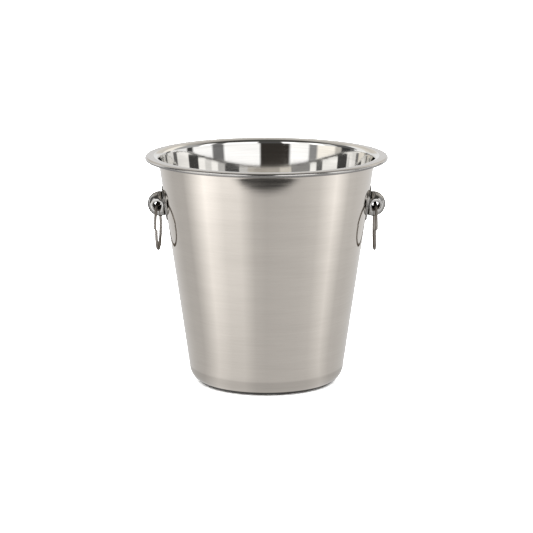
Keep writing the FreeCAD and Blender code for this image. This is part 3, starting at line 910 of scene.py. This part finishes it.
def make_seal(name, matrix):
    """Rubber washer: soft edges, flat towards the nut, and curved to the inside of the wall."""
    inner, outer, edge = WASHER_BORE_RADIUS, SEAL_RADIUS, SEAL_EDGE
    soft = SEAL_SOFTNESS * edge
    floor = -(SHEET + SEAL_THICKNESS)
    radii = [inner + edge + (outer - inner - 2 * edge) * k / SEAL_ROWS for k in range(SEAL_ROWS + 1)]
    profile = [(radius, None) for radius in radii]
    profile += [(outer - soft, -soft), (outer, -edge), (outer, "low")]
    profile += [(outer - soft, "soft")] + [(radius, "flat") for radius in reversed(radii)]
    profile += [(inner, "low"), (inner, -edge)]
    vertices = []
    for radius, kind in profile:
        for step in range(WASHER_STEPS):
            turn = TURN * step / WASHER_STEPS
            x, y = radius * math.cos(turn), radius * math.sin(turn)
            roof = drop_on_wall(matrix, x, y, -SHEET - CLEARANCE)
            levels = {None: roof, "low": floor + edge, "soft": floor + soft, "flat": floor}
            z = levels[kind] if kind in levels else roof + kind
            vertices.append(matrix @ Vector((x, y, z)))
    faces = grid_faces(len(profile), WASHER_STEPS)
    add_piece(
        f"{name}_seal_ring", vertices, faces, "rubber", "bucket", [f"{name}_seal_washer"],
        SEAL_SHARP,
    )


WASHER_BORE_EDGE = 0.15 * MM
WASHER_BURR = 0.05 * MM
WASHER_ROUNDING = 0.25 * MM
WASHER_ROUNDING_ROWS = 5


def make_washer(name, matrix):
    """Stamped steel washer: one edge rounded by the punch, the other nearly sharp."""
    low = -(SHEET + SEAL_THICKNESS + WASHER_THICKNESS) + CLEARANCE
    high = low + WASHER_THICKNESS - 2 * CLEARANCE
    inner, outer = WASHER_BORE_RADIUS, WASHER_RADIUS
    profile = [(inner + WASHER_BORE_EDGE, low), (inner, low + WASHER_BORE_EDGE)]
    profile += [(inner, high - WASHER_BURR), (inner + WASHER_BURR, high)]
    profile += [(outer - WASHER_BURR, high), (outer, high - WASHER_BURR)]
    centre = (outer - WASHER_ROUNDING, low + WASHER_ROUNDING)
    profile += arc_points(centre, WASHER_ROUNDING, 0, -90, WASHER_ROUNDING_ROWS)
    vertices, faces, _ = revolve(profile, WASHER_STEPS)
    add_piece(
        f"{name}_washer_disc", place(vertices, matrix), faces, "hardware", "bucket",
        [f"{name}_flat_washer"],
    )


NUT_STEPS = 96
NUT_SHARP = 25.0
NUT_CORNER_SLOPE = math.tan(math.radians(30))
NUT_FACE_SHARE = 0.94  # of the width across flats, where the turned-off corners start
NUT_BORE_EDGE = 0.3 * MM
NUT_DOME_STEP = 6  # degrees
# Heights of the hexagon's rows in mm, closer where its corners are turned off.
NUT_ROWS = (0.0, 0.15, 0.3, 0.45, 0.6, 0.8, 1.2, 1.6, 2.0, 2.3, 2.5, 2.65, 2.8, 2.95, 3.1, 3.2)


def make_cap_nut(name, matrix):
    """Low cap nut: a hexagon with its corners turned off to a cone, a washer face, and a dome."""
    seat = SHEET + SEAL_THICKNESS + WASHER_THICKNESS
    flip = Matrix.Translation((0, 0, -seat)) @ Matrix.Rotation(math.pi, 4, "X")
    face = NUT_FLATS / 2 * NUT_FACE_SHARE
    profile = [("round", STUD_RADIUS, NUT_BORE_DEPTH), ("round", STUD_RADIUS, NUT_BORE_EDGE)]
    profile += [("round", STUD_RADIUS + NUT_BORE_EDGE, 0.0)]
    profile += [("hex", None, height * MM) for height in NUT_ROWS]
    for degrees in range(0, 90, NUT_DOME_STEP):
        rise = math.radians(degrees)
        height = NUT_HEX_HEIGHT + NUT_DOME_RADIUS * math.sin(rise)
        profile.append(("round", NUT_DOME_RADIUS * math.cos(rise), height))
    vertices = []
    for kind, radius, height in profile:
        for step in range(NUT_STEPS):
            turn = TURN * step / NUT_STEPS
            reach = radius
            if kind == "hex":
                within = (turn + math.pi / 6) % (math.pi / 3) - math.pi / 6
                flat = NUT_FLATS / 2 / math.cos(within)
                cone_low = face + height / NUT_CORNER_SLOPE
                cone_high = face + (NUT_HEX_HEIGHT - height) / NUT_CORNER_SLOPE
                reach = min(flat, cone_low, cone_high)
            vertices.append((reach * math.cos(turn), reach * math.sin(turn), height))
    faces = grid_faces(len(profile), NUT_STEPS, wrap_rows=False)
    top, blind = len(vertices), len(vertices) + 1
    vertices += [(0, 0, NUT_HEX_HEIGHT + NUT_DOME_RADIUS), (0, 0, NUT_BORE_DEPTH)]
    last = (len(profile) - 1) * NUT_STEPS
    for step in range(NUT_STEPS):
        after = (step + 1) % NUT_STEPS
        faces.append((last + step, last + after, top))
        faces.append((after, step, blind))
    piece = add_piece(
        f"{name}_cap_nut", place(vertices, matrix @ flip), faces, "hardware", "bucket",
        [f"{name}_dome_nut"], NUT_SHARP,
    )
    make_normals_outwards(piece.data)


def make_handles():
    for name, side in (("left", -1), ("right", 1)):
        matrix = handle_matrix(side)
        make_backplate(name, matrix)
        make_ball(name, matrix)
        make_ring(name, side)
        make_stud(name, matrix)
        make_seal(name, matrix)
        make_washer(name, matrix)
        make_cap_nut(name, matrix)


make_camera()
make_world()
make_floor()
make_table()
make_sun()
make_shell()
make_handles()
bpy.context.scene.view_settings.view_transform = "Standard"
